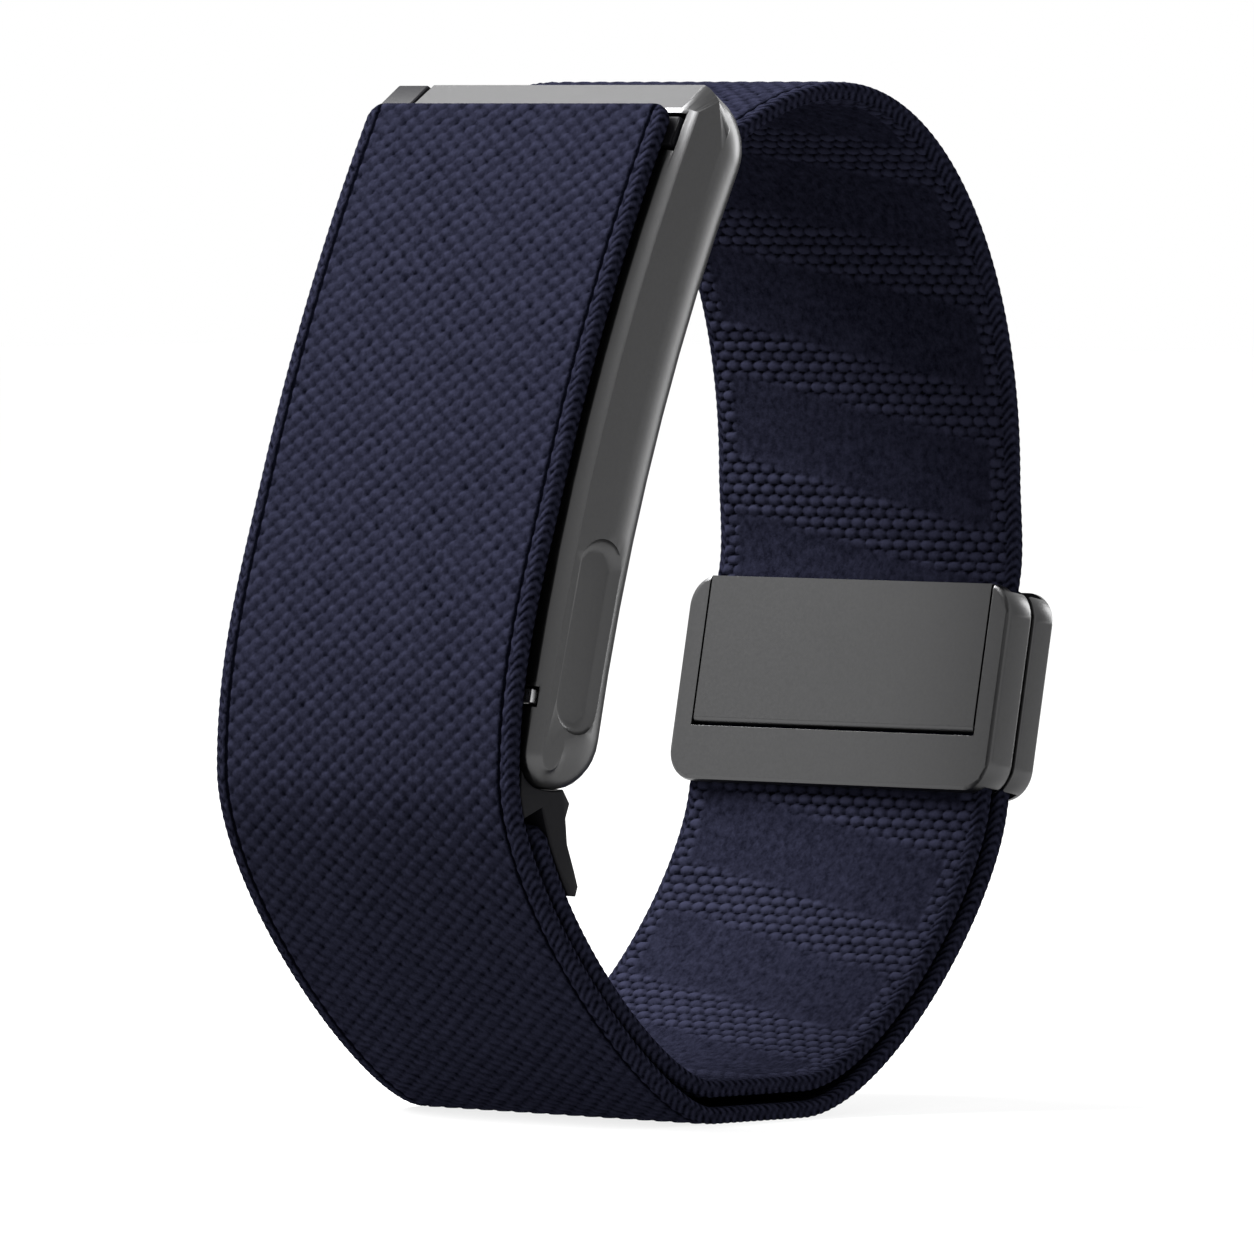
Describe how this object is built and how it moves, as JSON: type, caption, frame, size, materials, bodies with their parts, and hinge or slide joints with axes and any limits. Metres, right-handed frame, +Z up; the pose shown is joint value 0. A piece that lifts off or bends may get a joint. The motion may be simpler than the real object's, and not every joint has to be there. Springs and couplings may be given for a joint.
{
  "type": "fitness tracker band",
  "caption": "Wrist tracker: slim curved pod under a knitted cover strap, closed into a loop by a metal buckle with a clamp lever.",
  "frame": {"origin": "middle of the footprint on the surface the band stands on", "axes": "+Z up, +X across the strap, -Y towards the pod's front"},
  "size_m": [0.026, 0.045, 0.0599],
  "materials": {
    "gunmetal_anodised": "satin dark anodised",
    "knit": "navy knitted elastic",
    "gunmetal": "satin gunmetal coating",
    "steel": "plain satin",
    "black_plastic": "fine matt",
    "dark_glass": "polished, near black",
    "board": "solder resist",
    "cell": "pouch foil",
    "lamp": "clear green lens",
    "gold": "gold plate",
    "seal": "matt",
    "dense_metal": "sintered"
  },
  "bodies": {
    "band": {"pod_frame": "gunmetal_anodised", "pod_front_cover": "black_plastic", "pod_back_cover": "black_plastic", "window_seal": "seal", "optical_window": "dark_glass", "circuit_board": "board", "battery_cell": "cell", "antenna_strip": "gold", "haptic_case": "steel", "motion_sensor": "black_plastic", "sensor_led_1": "lamp", "sensor_led_2": "lamp", "sensor_led_3": "lamp", "photodiode_1": "dark_glass", "photodiode_2": "dark_glass", "charge_contact_1": "gold", "charge_contact_2": "gold", "hook_bar": "steel", "strap_pin": "steel", "tail_keeper": "black_plastic", "strap_outer": "knit", "strap_inner": "knit", "buckle_clamp_frame": "gunmetal", "buckle_lever_pin": "steel", "buckle_shim": "steel", "buckle_outer_frame": "gunmetal", "buckle_strap_bar": "steel"},
    "cover": {"strap_cover": "knit", "clasp_bar": "steel", "clasp_end_block": "black_plastic"},
    "release_tab": {"clasp_release_tab": "black_plastic"},
    "lever": {"buckle_lever": "gunmetal", "buckle_grip_pad": "seal"},
    "haptic_weight": {"haptic_mass": "dense_metal"}
  },
  "joints": [
    {"name": "cover_opening", "type": "hinge", "parent": "band", "child": "cover", "pos_m": [0, -0.02203, 0.02041], "axis": [1, 0, 0], "range_deg": [0, 95]},
    {"name": "release_tab_press", "type": "slide", "parent": "cover", "child": "release_tab", "axis": [0, 0.8817, -0.4718], "range_m": [0, 0.0004], "stiffness_N_per_m": 250},
    {"name": "lever_opening", "type": "hinge", "parent": "band", "child": "lever", "pos_m": [0, 0.01735, 0.02216], "axis": [1, 0, 0], "range_deg": [0, 80]},
    {"name": "haptic_travel", "type": "slide", "parent": "band", "child": "haptic_weight", "axis": [1, 0, 0], "range_m": [-0.0006, 0.0006], "stiffness_N_per_m": 120}
  ]
}
